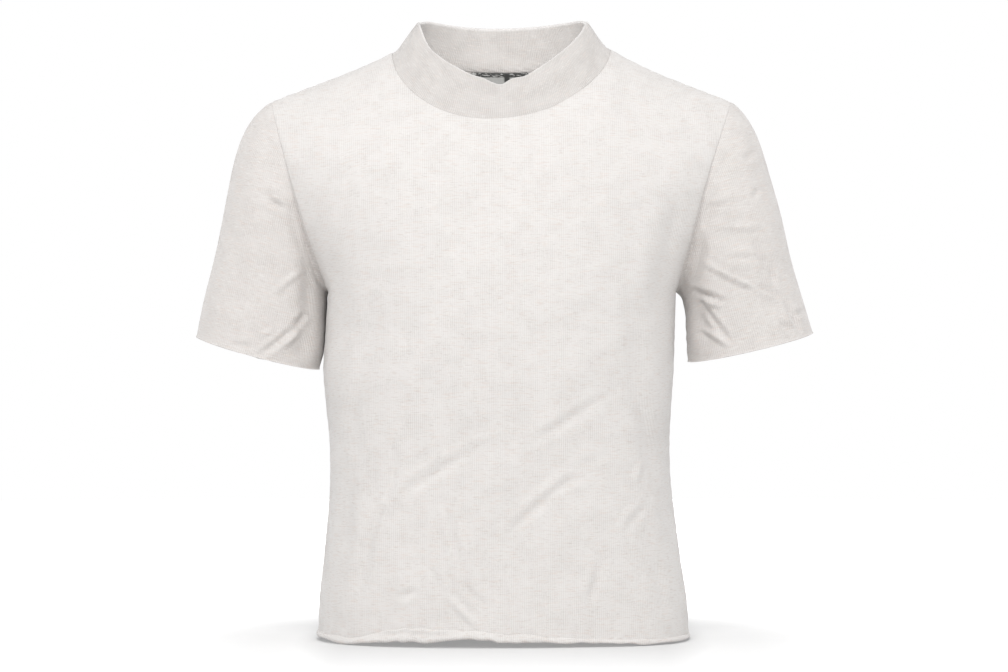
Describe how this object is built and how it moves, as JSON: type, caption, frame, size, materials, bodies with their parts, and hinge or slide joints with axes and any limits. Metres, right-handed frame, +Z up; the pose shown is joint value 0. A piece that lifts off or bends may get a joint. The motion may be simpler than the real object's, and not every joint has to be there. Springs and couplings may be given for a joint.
{
  "type": "short-sleeved mock-neck sweater",
  "caption": "Cropped fine-rib knit sweater with short set-in sleeves, a stand-up folded neckband and a rolled raw hem, in its hollow worn form.",
  "frame": {"origin": "middle of the neck, level with the high points of the two shoulders, where the wearer's shoulders carry the sweater", "axes": "+Z up, the front faces -Y, +X is the wearer's left"},
  "size_m": [0.5381, 0.2201, 0.5388],
  "materials": {
    "body_knit": "oatmeal melange fine-rib knit, matt with a faint fuzz",
    "band_knit": "the same knit folded double",
    "label": "charcoal woven tape with a pale patch"
  },
  "bodies": {
    "root": {"front": "body_knit", "back": "body_knit", "sleeve_right": "body_knit", "sleeve_left": "body_knit", "neckband": "band_knit", "neck_label": "label"}
  },
  "joints": []
}
